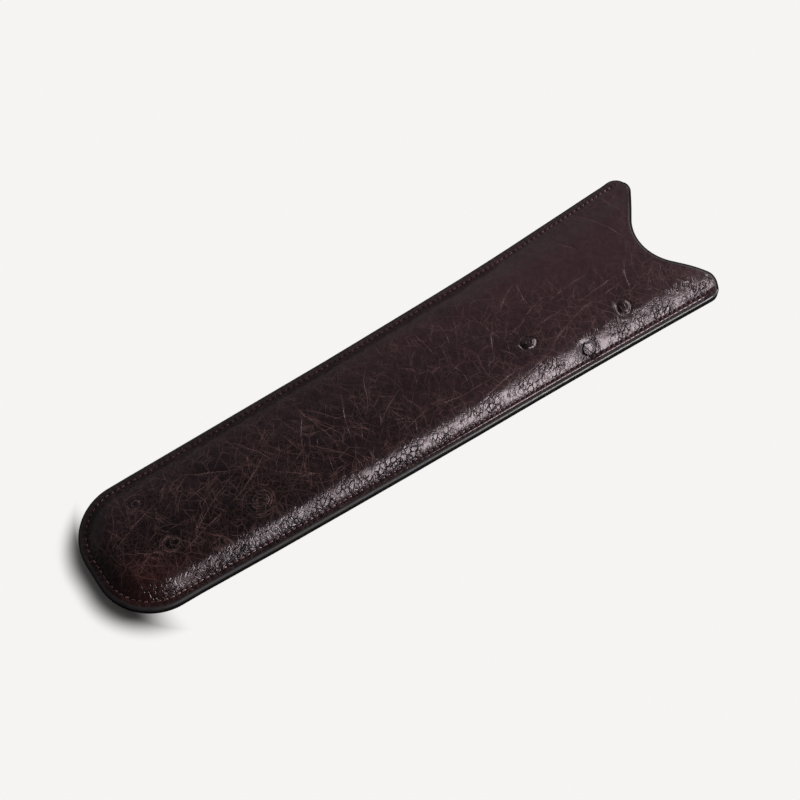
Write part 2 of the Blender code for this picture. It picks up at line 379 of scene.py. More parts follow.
# Long creases that show in the photograph: start, end and sideways bend, in millimetres
long_creases = [
    (111, -15.4, 130, -12.6, -0.5), (128, -12.9, 149, -6.7, 1.2), (148.5, -6.8, 157, -6.2, -0.3),
    (120.5, -3.2, 129.5, -0.9, -0.6), (129, -0.9, 137, 1.4, 0.3), (134.5, -1, 151, 0.9, 0.4),
    (129.5, -5, 140, -4.7, 0.2), (143, -5.3, 157, -4.2, 0.3), (124, 3.6, 133, 9.2, 0.6),
    (104, -15, 119, -12.6, 0.5), (84, -10.8, 94, -9.3, 0.4), (93, -9.4, 110, -10.9, -0.5),
    (79, -6.4, 90, -0.2, 0.5), (102.8, -3.5, 108.5, -2.9, 0.1), (106, -10.8, 114, -11.6, 0.2),
    (62, -13, 70.5, -13.2, 0.1), (56, -9.6, 66.5, 9.5, 1), (64.5, 10.2, 71, -3.8, -0.9),
    (64, 9.8, 67.5, -4.6, 0.5), (65, 9, 78, -8.8, 0.9), (60.5, 3, 70.5, -0.4, -0.6),
    (71, -6, 77, 8, 0.5), (60, -11.5, 66, -10.2, 0.2), (48, 0.5, 60.5, -9.8, -0.8),
    (42, 14, 52.5, -1, 1.1), (36, -4.5, 52, 3.8, -0.9), (24, -8, 48, 4.4, 1.4),
    (20, -9.6, 36.5, -4.6, 0.5), (22, 2, 33.5, 9.2, 0.4), (30, 10, 44.5, 2.5, -0.5),
    (7, 0.4, 23, 6.2, 0.4), (8, -1, 17.5, -6.4, -0.5), (26, 2.6, 40, 4.6, -0.5),
    (150.2, 13.5, 153.4, 8.6, 0.3), (162.3, 15.8, 166.9, 4.6, 0.5), (171.2, 20.6, 172, 12, -0.4),
    (117, 8, 119.6, -4, 0.3), (101.8, 11.5, 102.6, 3, 0.2), (131.8, 1, 133.4, 9, 0.3),
    (113.5, -9, 122.5, 4, 0.8), (88, -14.2, 82, -18.4, 0.2), (110, -15, 105.5, -18.8, 0.2),
    (101, -12.2, 97.5, -18.5, 0.3), (71, -11, 75.5, -17, 0.3), (150.5, -9, 151.8, -15.5, 0.3),
]

crease_reach = 0.5 * mm
crease_width = 0.3 * mm
crease_fade = 0.17 * mm
crease_step = 0.7 * mm
crease_families = 5
ring_family = 4
front_crease_count = 1500
back_crease_count = 420


class Creases:
    """Creases finer than the mesh. Each vertex keeps its signed distance to the nearest line of each
    family and that line's strength, and the material draws the line where the distance is zero."""

    def __init__(self, x, y):
        self.x, self.y = x, y
        self.gap = np.full((crease_families, len(x)), crease_reach)
        self.strength = np.zeros((crease_families, len(x)))
        self.fold = np.zeros(len(x))

    def add(self, family, points, strength, fold=0.0):
        """Adds a line through points. Its strength is given at each of them; fold also dents the mesh."""
        low, high = points.min(axis=0) - crease_reach, points.max(axis=0) + crease_reach
        near = np.nonzero((self.x > low[0]) & (self.x < high[0]) & (self.y > low[1]) & (self.y < high[1]))[0]
        if len(near) == 0:
            return
        start, run = points[:-1], np.diff(points, axis=0)
        to_x = self.x[near, None] - start[:, 0]
        to_y = self.y[near, None] - start[:, 1]
        share = np.clip((to_x * run[:, 0] + to_y * run[:, 1]) / (run ** 2).sum(axis=1), 0, 1)
        off_x, off_y = to_x - share * run[:, 0], to_y - share * run[:, 1]
        off = np.hypot(off_x, off_y)
        rows = np.arange(len(near))
        best = off.argmin(axis=1)
        gap = off[rows, best]
        side = np.sign(run[best, 0] * off_y[rows, best] - run[best, 1] * off_x[rows, best])
        here = np.interp(best + share[rows, best], np.arange(len(points)), strength)
        closer = gap < np.abs(self.gap[family, near])
        self.gap[family, near[closer]] = (gap * side)[closer]
        self.strength[family, near[closer]] = (here * (1 - ease(gap, crease_width, crease_fade)))[closer]
        dent = fold * here * np.exp(-(gap / crease_width) ** 2)
        self.fold[near] = np.maximum(self.fold[near], dent)


def bent_line(start, end, bend):
    """Points along a shallow arc from start to end."""
    start, end = np.array(start), np.array(end)
    length = np.linalg.norm(end - start)
    aside = np.array([start[1] - end[1], end[0] - start[0]]) / length
    share = np.linspace(0, 1, max(4, round(length / crease_step)))[:, None]
    return start + share * (end - start) + 4 * bend * share * (1 - share) * aside


def wandering_line(start, angle, length, rng):
    """Points of a line that sets out at an angle and wanders a little."""
    steps = max(3, round(length / crease_step))
    headings = angle + np.cumsum(rng.normal(0, 0.13, steps))
    moves = length / steps * np.stack([np.cos(headings), np.sin(headings)], axis=1)
    return np.vstack([[start], start + np.cumsum(moves, axis=0)])


def tapered(points, strength, rng):
    """A stroke's strength along its points: it fades at both ends and wavers between."""
    share = np.linspace(0, 1, len(points))
    ends = np.clip(np.minimum(share, 1 - share) * 5, 0, 1)
    waver = 0.75 + 0.25 * np.sin(share * rng.uniform(4, 16) + rng.uniform(0, 6))
    return strength * ends * waver


def family_of(angle, rng):
    """Lines that lean the same way share a family, because they hardly cross."""
    lean = math.degrees(angle) % 180
    if lean < 25 or lean > 160:
        return 0
    if lean < 95:
        return 1 if rng.uniform() < 0.6 else 3
    return 2


def draw_quill_rings(creases, rng):
    for index, radii, strength in quill_rings:
        x, y = quills[index][:2]
        for radius in radii:
            for _ in range(3):
                start = rng.uniform(0, 2 * math.pi)
                sweep = rng.uniform(1.2, 3.4)
                angles = np.linspace(start, start + sweep, 18)
                away = radius * (1 + 0.05 * np.sin(2 * angles + x) + rng.normal(0, 0.03))
                round_x, round_y = x + 1.1 * away * np.cos(angles), y + 0.9 * away * np.sin(angles)
                points = np.stack([round_x, round_y], axis=1) * mm
                creases.add(ring_family, points, tapered(points, strength * rng.uniform(0.5, 1), rng), 0.6)


def draw_front_creases(creases, rng):
    """The long creases, the net of short ones between them and the rings round the quills."""
    draw_quill_rings(creases, rng)
    for _ in range(front_crease_count):
        x = case_length * rng.uniform(0, 1)
        y = rng.uniform(-1, 1) * half_width(x)
        leans = [50, -48, 8, 88] if x < 60 * mm else [64, -58, 86, 20] if x < 110 * mm else [60, 28, 6, -52]
        lean = rng.choice(leans, p=[0.36, 0.3, 0.16, 0.18])
        angle = math.radians(lean + rng.normal(0, 11))
        length = np.clip(rng.lognormal(math.log(4.6), 0.5), 1.5, 16.0) * mm
        points = wandering_line(np.array([x, y]), angle, length, rng)
        smooth = smooth_area(np.array([x]), np.array([y]))[0]
        strength = (0.12 + 0.75 * rng.uniform() ** 2.2) * (1 - 0.7 * smooth)
        creases.add(family_of(angle, rng), points, tapered(points, strength, rng))
    for x0, y0, x1, y1, bend in long_creases:
        points = bent_line((x0 * mm, y0 * mm), (x1 * mm, y1 * mm), bend * mm)
        points = points + 0.10 * mm * np.sin(np.linspace(0, rng.uniform(9, 20), len(points)))[:, None]
        strength = tapered(points, rng.uniform(0.8, 1.0), rng)
        creases.add(family_of(math.atan2(y1 - y0, x1 - x0), rng), points, strength, 1.0)


def draw_back_creases(creases, rng):
    for _ in range(back_crease_count):
        x = case_length * rng.uniform(0, 1)
        y = rng.uniform(-1, 1) * half_width(x)
        angle = rng.uniform(0, math.pi)
        length = np.clip(rng.lognormal(math.log(7.0), 0.5), 3.0, 26.0) * mm
        points = wandering_line(np.array([x, y]), angle, length, rng)
        creases.add(family_of(angle, rng), points, tapered(points, rng.uniform(0.2, 0.8), rng), 0.5)


def blob(x, y, centre_x, centre_y, width, height):
    """1 at a place, fading round it over a width and a height given in millimetres."""
    return np.exp(-((x / mm - centre_x) / width) ** 2 - ((y / mm - centre_y) / height) ** 2)


def smooth_area(x, y):
    """Where the leather is smooth and its creases are faint: mostly on the upper side of the mouth."""
    upper = blob(x, y, 150, 12, 45, 11)
    middle = 0.6 * blob(x, y, 160, 0, 20, 8)
    left = 0.45 * blob(x, y, 75, 13, 30, 5)
    return np.clip(upper + middle + left, 0, 1)


def smudges(x, y):
    """Where the dye is darkest, round the quills and in a few clouds."""
    dark = np.zeros(len(x))
    for quill_x, quill_y, radius, *_ in quills:
        dark = np.maximum(dark, blob(x, y, quill_x - 0.6, quill_y + 0.3, 2.0 * radius, 1.6 * radius))
    clouds = [(68.8, 9.6, 3.6, 2.6), (112.2, 12.6, 2.6, 1.8), (120.5, -6.0, 4.0, 3.0),
              (36.0, 8.0, 5.0, 3.0), (18.0, 8.4, 5.5, 2.4), (40.5, -3.5, 4.0, 2.5), (30.0, -2.0, 5.0, 3.0)]
    for x0, y0, width, height in clouds:
        dark = np.maximum(dark, 0.6 * blob(x, y, x0, y0, width, height))
    return dark


def quill_relief(x, y):
    """The raised quill follicles, each a low flat dome in a ditch, with a rim and fine rings."""
    height = np.zeros(len(x))
    for quill_x, quill_y, radius, dome, ditch, rim, rings in quills:
        away = np.hypot((x / mm - quill_x) * 0.95, (y / mm - quill_y) * 1.08)
        angle = np.arctan2(y / mm - quill_y, x / mm - quill_x)
        away = away * (1 + 0.06 * np.sin(2 * angle + quill_x) + 0.04 * np.sin(5 * angle + quill_y))
        share = away / radius
        mound = dome * np.exp(-(share / 0.84) ** 12) * (1 - 0.35 * share ** 2)
        wall = np.where(share > 1, 0.45, 0.15)
        low = -ditch * np.exp(-((share - 1.0) / wall) ** 2) * (0.8 + 0.2 * np.sin(3 * angle + quill_x))
        edge = rim * np.exp(-((share - 0.70) / 0.14) ** 2)
        ripple = rings * np.cos(away * 2 * math.pi / 0.85) * np.exp(-(away / (1.9 * radius)) ** 2)
        fold = -0.5 * rim * np.exp(-((x / mm - quill_x + 0.5 * (y / mm - quill_y)) / 0.3) ** 2 - share ** 2)
        height += mound + low + edge + ripple + fold
    return height * mm


def soft_noise(x, y, size, rng):
    """Smooth noise from -1 to 1, as a few crossing waves of about one size."""
    total = np.zeros(len(x))
    waves = 9
    for _ in range(waves):
        angle = rng.uniform(0, math.pi)
        length = size * rng.uniform(0.7, 1.5)
        along = x * math.cos(angle) + y * math.sin(angle)
        total += np.sin(along * 2 * math.pi / length + rng.uniform(0, 6.3))
    return total / math.sqrt(waves)


seam_path = mirrored(side_half(seam_inset, seam_end_x, 0.2 * mm))
seam_length = walked_along(seam_path)[-1]
stitch_count = round(seam_length / stitch_pitch)
true_pitch = seam_length / stitch_count


def seam_relief(x, y):
    """The groove that the thread pulls into the leather, with a dent at each needle hole."""
    height = np.zeros(len(x))
    close = np.abs(distance_to_side(x, y) - seam_inset) < seam_reach
    off, place = nearest_on(seam_path, x[close], y[close], seam_reach + 0.2 * mm)
    ends = np.clip(np.minimum(place, seam_length - place) / seam_run_out + 0.4, 0, 1)
    phase = place / true_pitch
    along = (phase - np.round(phase)) * true_pitch
    hole = np.exp(-(off ** 2 + along ** 2) / needle_hole_radius ** 2)
    groove = np.exp(-(off / groove_width) ** 2) * (0.7 + 0.3 * np.cos(2 * math.pi * phase))
    pucker = np.cos(2 * math.pi * phase) * np.exp(-((off - pucker_inset) / pucker_width) ** 2)
    height[close] = -ends * (groove_depth * groove + needle_hole_depth * hole + pucker_height * pucker)
    return height


def ridge_at(x, y):
    """The height of the ridge beside the seam: lower towards the closed end, and run out at the mouth."""
    growing = 0.5 + 0.5 * ease(x, ridge_growth_start, ridge_growth_length)
    return ridge_height * growing * ease(distance_to_mouth(x, y), 0.0, ridge_end)


def edge_relief(x, y):
    """The ridge beside the seam, outside which the margin is pressed down."""
    return -ridge_at(x, y) * (1 - ease(distance_to_side(x, y), ridge_inset - ridge_width, ridge_width))


# Meshes

def plan_triangles(outline, points):
    """Places and triangles that fill an outline, with the points inside it. The outline's come first."""
    corners = [Vector(p) for p in np.vstack([outline, points])]
    inside_only = 1
    plan = delaunay_2d_cdt(corners, [], [list(range(len(outline)))], inside_only, fine_step / 100)
    places = np.array([tuple(p) for p in plan[0]])
    triangles = np.array([t for t in plan[2] if len(t) == 3])
    first, second, third = (places[triangles[:, k]] for k in range(3))
    ahead, aside = second - first, third - first
    turned = ahead[:, 0] * aside[:, 1] < ahead[:, 1] * aside[:, 0]
    triangles[turned] = triangles[turned][:, ::-1]
    return places, triangles


def signed_mouth_distance(x, y):
    """Distance to the mouth's edge, negative outside it."""
    upper = mouth_line[len(mouth_line) // 2::-1]
    edge_x = np.interp(np.abs(y), upper[:, 1], upper[:, 0])
    away = distance_to_mouth(x, y)
    return np.where(x < edge_x, away, -away)


def staggered(columns, rows, pitch):
    """Rows of points, each second one moved along by half a pitch."""
    x, y = np.meshgrid(columns, rows)
    return x + (np.arange(len(rows)) % 2)[:, None] * pitch / 2, y


def lattice(pitch, inset):
    """Points on a triangular lattice that lie inside the outline by at least an inset."""
    rows = np.arange(-mouth_width / 2, mouth_width / 2, pitch * math.sqrt(3) / 2)
    x, y = (side.ravel() for side in staggered(np.arange(0, case_length, pitch), rows, pitch))
    keep = np.minimum(distance_to_side(x, y), signed_mouth_distance(x, y)) > inset
    return np.stack([x[keep], y[keep]], axis=1)


def quill_points(lattice_points):
    """Lattice points with closer ones round each quill in their place."""
    added = []
    for quill_x, quill_y, radius, *_ in quills:
        reach = quill_point_reach * radius * mm
        away = np.hypot(lattice_points[:, 0] - quill_x * mm, lattice_points[:, 1] - quill_y * mm)
        lattice_points = lattice_points[away > reach]
        steps = np.arange(-reach, reach, quill_point_pitch)
        x, y = staggered(steps, steps, quill_point_pitch)
        close = np.hypot(x, y) < reach - quill_point_pitch / 2
        added.append(np.stack([quill_x * mm + x[close], quill_y * mm + y[close]], axis=1))
    return np.vstack([lattice_points] + added)


def ring_points(insets, step):
    return np.vstack([ring(inset, step) for inset in insets])


def linked(name, data):
    """A new object in the scene."""
    made = bpy.data.objects.new(name, data)
    bpy.context.scene.collection.objects.link(made)
    return made


def new_object(name, vertices, faces, look, front_half, smooth_angle):
    """A mesh with the worn case's shape, moved from plan places to the model's own."""
    placed = np.array(vertices)
    placed += np.column_stack(sprung(placed[:, 0], placed[:, 1], front_half)) - (case_length / 2, 0, 0)
    mesh = bpy.data.meshes.new(name)
    mesh.from_pydata(placed, [], faces)
    mesh.shade_smooth()
    mesh.set_sharp_from_angle(angle=math.radians(smooth_angle))
    mesh.materials.append(look)
    return linked(name, mesh)


def closed_sheet(name, look, count, near, far, upward, front_half):
    """A closed sheet: a finely drawn near face, a plain far face and the wall between them. A face comes
    as its places, triangles and heights, with its first count places on the outline. upward is True
    where the near face looks up."""
    here = np.arange(count)
    after = np.roll(here, -1)
    start = len(near[0])
    wall = np.column_stack([here + start, after + start, after, here])
    near_faces, far_faces = near[1], far[1] + start
    if upward:
        far_faces = far_faces[:, ::-1]
    else:
        near_faces, wall = near_faces[:, ::-1], wall[:, ::-1]
    vertices = np.vstack([np.column_stack([places, heights]) for places, _, heights in (near, far)])
    faces = near_faces.tolist() + far_faces.tolist() + wall.tolist()
    return new_object(name, vertices, faces, look, front_half, 60)


def tube_faces(rings, sides, closed):
    """The faces between rings of vertices, which are joined end to end or capped."""
    faces = []
    for i in range(rings if closed else rings - 1):
        here, there = i * sides, (i + 1) % rings * sides
        for k in range(sides):
            m = (k + 1) % sides
            faces.append((here + k, here + m, there + m, there + k))
    if not closed:
        last = (rings - 1) * sides
        faces += [tuple(range(sides))[::-1], tuple(range(last, last + sides))]
    return faces


def swept(name, look, base, inwards, profile, height_of, front_half, closed=True):
    """A profile carried along a line. profile lists (inset, height) round its section, so that
    walking it anticlockwise seen along the line keeps its inside on the left."""
    sections = []
    for inset, height in profile:
        at = base + inset * inwards
        sections.append(np.column_stack([at, height + height_of(at[:, 0], at[:, 1])]))
    vertices = np.stack(sections, axis=1).reshape(-1, 3)
    return new_object(name, vertices, tube_faces(len(base), len(profile), closed), look, front_half, 50)


# Materials

class Value:
    """What a node gives, with sums and products that make further nodes."""

    def __init__(self, nodes, socket):
        self.nodes, self.socket = nodes, socket

    def __mul__(self, other):
        return self.nodes.math("MULTIPLY", self, other)

    def __add__(self, other):
        return self.nodes.math("ADD", self, other)

    def __rsub__(self, other):
        return self.nodes.math("SUBTRACT", other, self)

    def __abs__(self):
        return self.nodes.math("ABSOLUTE", self)


class Nodes:
    """A node tree and short calls for its nodes."""

    def __init__(self, tree):
        self.tree = tree

    def feed(self, socket, value):
        if isinstance(value, Value):
            self.tree.links.new(value.socket, socket)
        else:
            socket.default_value = value

    def node(self, kind, output=0, inputs=(), **settings):
        """One output of a new node. inputs pairs its sockets with what goes into them."""
        made = self.tree.nodes.new(kind)
        for name, value in settings.items():
            setattr(made, name, value)
        for socket, value in dict(inputs).items():
            self.feed(made.inputs[socket], value)
        return Value(self, made.outputs[output])

    def math(self, operation, *values, clamp=False):
        return self.node("ShaderNodeMath", 0, enumerate(values), operation=operation, use_clamp=clamp)

    def most(self, first, second, clamp=False):
        return self.math("MAXIMUM", first, second, clamp=clamp)

    def ramp(self, value, low, high, to_low=0.0, to_high=1.0, smooth=True):
        """A step of a value between low and high."""
        return self.node("ShaderNodeMapRange", 0, enumerate((value, low, high, to_low, to_high)),
                         interpolation_type="SMOOTHSTEP" if smooth else "LINEAR")

    def mix(self, share, first, second):
        """A blend of two colours."""
        first, second = ((*c, 1.0) if isinstance(c, tuple) else c for c in (first, second))
        return self.node("ShaderNodeMix", 2, {0: share, 6: first, 7: second}, data_type="RGBA")

    def mix_shaders(self, share, first, second):
        return self.node("ShaderNodeMixShader", 0, enumerate((share, first, second)))

    def is_ray(self, kind):
        """1 for a ray of a kind, such as Camera or Glossy."""
        return self.node("ShaderNodeLightPath", f"Is {kind} Ray")

    def axis(self, places, name):
        return self.node("ShaderNodeSeparateXYZ", name, {0: places})

    def places(self, lean=0.0, stretch=1.0):
        """The piece's own coordinates in millimetres, for patterns stretched along a lean in the plan."""
        own = {"Vector": self.node("ShaderNodeTexCoord", "Object"), "Rotation": (0, 0, math.radians(lean)),
               "Scale": (stretch * mm, mm, mm)}
        return self.node("ShaderNodeMapping", 0, own, vector_type="TEXTURE")

    def noise(self, places, size, detail=2.0, roughness=0.5, output="Fac"):
        given = {"Vector": places, "Scale": 1 / size, "Detail": detail, "Roughness": roughness}
        return self.node("ShaderNodeTexNoise", output, given)

    def warped(self, places, size, amount):
        """Places pushed about by noise."""
        noise = self.noise(places, size, output="Color")
        centred = self.node("ShaderNodeVectorMath", 0, {0: noise, 1: (0.5,) * 3}, operation="SUBTRACT")
        pushed = {0: centred, 1: (amount,) * 3, 2: places}
        return self.node("ShaderNodeVectorMath", 0, pushed, operation="MULTIPLY_ADD")

    def cell_edges(self, places, size):
        """Distance to the edges of cells of about one size."""
        given = {"Vector": places, "Scale": 1 / size}
        return self.node("ShaderNodeTexVoronoi", "Distance", given, feature="DISTANCE_TO_EDGE")

    def attribute(self, name):
        return self.node("ShaderNodeAttribute", "Fac", attribute_name=name)


class Look(Nodes):
    """A material and its nodes."""

    def __init__(self, name):
        self.material = bpy.data.materials.new(name)
        self.material.use_nodes = True
        super().__init__(self.material.node_tree)
        self.shader = self.tree.nodes["Principled BSDF"]

    def set(self, **sockets):
        for name, value in sockets.items():
            self.feed(self.shader.inputs[name.replace("_", " ")], value)

    def bump(self, height, depth):
        """Raises the surface by a height from 0 to 1 times a depth in millimetres."""
        self.set(Normal=self.node("ShaderNodeBump", 0, {"Height": height, "Distance": depth * mm}))


# The leather's dyes
ground_dark = (0.0038, 0.0019, 0.0023)
ground_brown = (0.0086, 0.0036, 0.0042)
# The darkest dye, which also serves as painted shade in the roll's cracks.
darkest_dye_and_crack_shade = (0.0025, 0.0018, 0.0022)
# A lighter brown, painted light for the brighter light that falls on the mouth end and the far side.
mouth_painted_light_brown = (0.0330, 0.0145, 0.0175)
corner_red = (0.0260, 0.0060, 0.0050)
crease_colour = (0.165, 0.084, 0.079)
margin_colour = (0.0060, 0.0045, 0.0050)

# Nets of fine lines: lean in degrees, stretch, cell size and line width, and strength
fine_nets = [(62, 2.4, 2.5, 0.040, 0.8), (-50, 2.4, 3.2, 0.033, 0.8), (10, 1.2, 1.15, 0.075, 0.50)]


def leather_look():
    """Glazed ostrich: a dark ground, worn creases of a lighter tone, cracks on the roll with painted shade in
    them, painted light that lightens the mouth end and the far side, and a smooth gloss.
    """
    look = Look("ostrich_leather_look")
    flat = look.places()
    crease = 0.0
    for family in range(crease_families):
        line = look.ramp(abs(look.attribute(f"crease_gap_{family}")), 0.02, 0.10, 1.0, 0.0)
        crease = look.most(line * look.attribute(f"crease_strength_{family}"), crease)

    def patchy_net(stretched, warp, size, width, smooth, patch_lean, patch_noise, patch_step):
        """The lines of a net of cells, in patches."""
        edges = look.cell_edges(look.warped(look.places(*stretched), *warp), size)
        patch = look.ramp(look.noise(look.places(patch_lean), *patch_noise), *patch_step)
        return look.ramp(edges, 0.0, width, 1.0, 0.0, smooth) * patch

    rough_area = 1.0 - look.attribute("smooth") * 0.6
    on_roll = look.attribute("roll")
    fine = 0.0
    for lean, stretch, size, width, strength in fine_nets:
        fine = look.most(patchy_net((lean, stretch), (3.0, 0.45), size, width, True,
                                    lean + 20, (5.5,), (0.36, 0.62, 0.10, strength)), fine)
    fine = fine * rough_area * (1.0 - on_roll * 0.7)
    cracks = patchy_net((70, 2.3), (2.0, 1.3), 1.20, 0.12, False, 15, (4.2, 2.5), (0.38, 0.58, 0.05, 1.15))
    crackle = patchy_net((60, 1.4), (1.6, 0.6), 0.72, 0.14, False, 50, (1.9,), (0.40, 0.60, 0.10, 1.0))
    cracked = look.most(cracks, crackle * 0.30) * on_roll

    margin = look.attribute("margin")
    cloud = look.ramp(look.noise(flat, 16.0, 3.0), 0.35, 0.68)
    mottle = look.ramp(look.noise(look.places(62, 1.6), 1.1, 3.0), 0.35, 0.65, 0.7, 0.0)
    colour = look.mix(cloud, ground_dark, ground_brown)
    # Painted light: the mouth end and the far side are mixed towards a lighter brown, where the light falls
    # brighter.
    for share, over in ((look.attribute("painted_light_mouth_end"), mouth_painted_light_brown),
                        (look.attribute("red_corner") * 0.7, corner_red),
                        (mottle * rough_area * 0.6, darkest_dye_and_crack_shade),
                        (look.attribute("smudge") * 0.85, darkest_dye_and_crack_shade),
                        (look.most(fine * 0.32, crease * 0.8, clamp=True), crease_colour),
                        # Painted shade: the roll's cracks are darkened in the colour, as well as dented.
                        (look.math("MULTIPLY", cracked, 0.8, clamp=True), darkest_dye_and_crack_shade),
                        (margin * 0.85, margin_colour)):
        colour = look.mix(share, colour, over)

    speck = look.noise(flat, 0.6)
    gloss = on_roll * 0.05 + 0.19 + fine * 0.15 + crease * 0.12 + margin * 0.3 + speck * 0.05
    look.set(Base_Color=colour, Roughness=gloss, Specular_Tint=(1.0, 0.86, 0.92, 1))
    valley = look.most(cracked * 1.5, look.most(fine * 0.22, crease * crease * 0.55))
    look.bump(speck * 0.12 + valley * -1.0, 0.06)
    return look.material


def paint_look(name, colour, roughness, grain, shine, worn=0.0):
    """Edge paint or burnished edge: nearly black, with a soft uneven gloss, duller towards the closed
    end by an amount worn."""
    look = Look(name)
    flat = look.places()
    patch = look.ramp(look.noise(flat, 2.2, 3.0), 0.3, 0.7)
    deeper = tuple(c * 0.6 for c in colour)
    duller = look.ramp(look.axis(flat, "X"), -50.0, 60.0, roughness + worn, roughness)
    look.set(Base_Color=look.mix(patch, deeper, colour), Roughness=patch * 0.10 + duller,
             Specular_IOR_Level=shine)
    look.bump(look.noise(flat, 0.4, 3.0), grain)
    return look.material


def thread_look():
    """Waxed twisted thread, dark red, lighter at the closed end and on the far side."""
    look = Look("sewing_thread_look")
    flat = look.places()
    tone = look.ramp(look.noise(flat, 1.3, 3.0, 0.65), 0.38, 0.66)
    colour = look.mix(tone, (0.014, 0.003, 0.005), (0.070, 0.016, 0.022))
    pale_thread_share = look.most(look.ramp(look.axis(flat, "X"), -78.0, -35.0, 0.9, 0.0),
                       look.ramp(look.axis(flat, "Y"), -4.0, 4.0, 0.0, 0.30))
    colour = look.mix(pale_thread_share * (tone * 0.7 + 0.3), colour, (0.150, 0.080, 0.075))
    look.set(Base_Color=colour, Roughness=0.75, Specular_IOR_Level=0.2)
    look.bump(look.noise(flat, 0.12), 0.03)
    return look.material


def board_look():
    """Bonded leather-fibre board: matt brown with a fine fleck."""
    look = Look("stiffener_board_look")
    flat = look.places()
    fleck = look.ramp(look.noise(flat, 0.5, 4.0, 0.7), 0.35, 0.7)
    look.set(Base_Color=look.mix(fleck, (0.09, 0.05, 0.032), (0.15, 0.09, 0.058)), Roughness=0.85)
    look.bump(look.noise(flat, 0.3, 3.0), 0.02)
    return look.material


def lining_look():
    """Thin smooth lining leather with a fine grain."""
    look = Look("lining_leather_look")
    flat = look.places()
    pores = look.cell_edges(look.warped(flat, 1.0, 0.3), 0.5)
    tone = look.ramp(look.noise(flat, 7.0, 3.0), 0.3, 0.7)
    look.set(Base_Color=look.mix(tone, (0.012, 0.009, 0.009), (0.021, 0.014, 0.013)), Roughness=0.55)
    look.bump(look.ramp(pores, 0.0, 0.15), 0.02)
    return look.material


leather_material = leather_look()
front_paint = paint_look("front_edge_paint_look", (0.012, 0.008, 0.010), 0.22, 0.01, 0.50, 0.32)
back_paint = paint_look("back_edge_paint_look", (0.0045, 0.0035, 0.0040), 0.60, 0.02, 0.06)
welt_paint = paint_look("welt_edge_look", (0.005, 0.004, 0.0045), 0.50, 0.01, 0.10)
lining_material = lining_look()
thread_material = thread_look()
board_material = board_look()


# The pieces

def pressed(x, y):
    """How far the front half's pinched margin is pressed down, past what the plain solids have."""
    return margin_press * (1 - ease(distance_to_side(x, y), seam_inset, margin_press_fade))


def front_underside(x, y):
    return front_leather_z + front_swell * swell(x, y) + board_step * over_board(x, y) - pressed(x, y)


def back_upperside(x, y):
    return back_leather_z + leather_thickness - back_swell * swell(x, y) - board_step * over_board(x, y)


# The front's slight waves: their heights and lengths, and where they start
wave_sizes = ((0.050 * mm, 11 * mm), (0.022 * mm, 3.2 * mm))
wave_inset = 1.6 * mm
wave_fade = 2.0 * mm
wave_mouth_fade = 3.0 * mm


def front_face(x, y):
    """The front leather's face, with its quills and slight waves."""
    rng = np.random.default_rng(7)
    waves = sum(height * soft_noise(x, y, length, rng) for height, length in wave_sizes)
    start = ease(distance_to_side(x, y), wave_inset, wave_fade) * ease(inside_of(x, y), 0.0, wave_mouth_fade)
    return front_leather_z + leather_thickness + face_rise(x, y) + quill_relief(x, y) + start * waves


def back_face(x, y):
    return back_upperside(x, y) - leather_thickness


def declare(piece, node=None):
    """Hangs a piece on the root body, and hides the node that it replaces."""
    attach(piece, "root")
    if node:
        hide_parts(node)


def tag(piece, name, values, rest=0.0):
    """Keeps a value for each vertex of the near face, which the material reads. The others get rest."""
    padded = np.full(len(piece.data.vertices), rest, np.float32)
    padded[:len(values)] = values
    piece.data.attributes.new(name, "FLOAT", "POINT").data.foreach_set("value", padded)


# The cracked roll of the lower side, and the dyed margin, from the edges inwards
cracks_start = 1.8 * mm
cracks_start_fade = 0.6 * mm
cracks_end = 3.4 * mm
cracks_end_growth = 1.6 * mm
cracks_end_fade = 3.6 * mm
margin_width = 0.5 * mm
mouth_margin_width = 0.8 * mm
mouth_margin_fade = 0.3 * mm


def tag_leather(piece, x, y, creases):
    """What the leather's material reads: creases, dark smudges, smooth places, the dyed margin, the lower
    side's roll, the painted light that lightens the mouth end and the far side, and the redder closed corner."""
    side = distance_to_side(x, y)
    for family in range(crease_families):
        tag(piece, f"crease_gap_{family}", creases.gap[family] / mm, 1.0)
        tag(piece, f"crease_strength_{family}", creases.strength[family])
    last = cracks_end + cracks_end_growth * towards_mouth(x)
    roll = ease(side, cracks_start, cracks_start_fade) * (1 - ease(side, last, cracks_end_fade))
    roll = roll * ease(-y, 2 * mm, 6 * mm)
    for quill_x, quill_y, radius, *_ in quills:
        away = np.hypot(x / mm - quill_x, y / mm - quill_y)
        roll = roll * (1 - 0.85 * np.exp(-(away / (0.95 * radius)) ** 8))
    at_mouth = 1 - ease(distance_to_mouth(x, y), mouth_margin_width, mouth_margin_fade)
    margin = np.maximum(1 - ease(side, margin_width, margin_width), at_mouth)
    # Painted light: how far the colour is lightened towards the mouth and on the far side, where more light
    # falls.
    painted_light_share = np.minimum(ease(x, 30 * mm, 140 * mm) + 0.22 * ease(y, -2 * mm, 14 * mm), 1)
    tag(piece, "smudge", smudges(x, y))
    tag(piece, "smooth", smooth_area(x, y))
    tag(piece, "margin", margin, 1.0)
    tag(piece, "roll", roll)
    tag(piece, "painted_light_mouth_end", painted_light_share)
    tag(piece, "red_corner", blob(x, y, 9, -11, 11, 7))


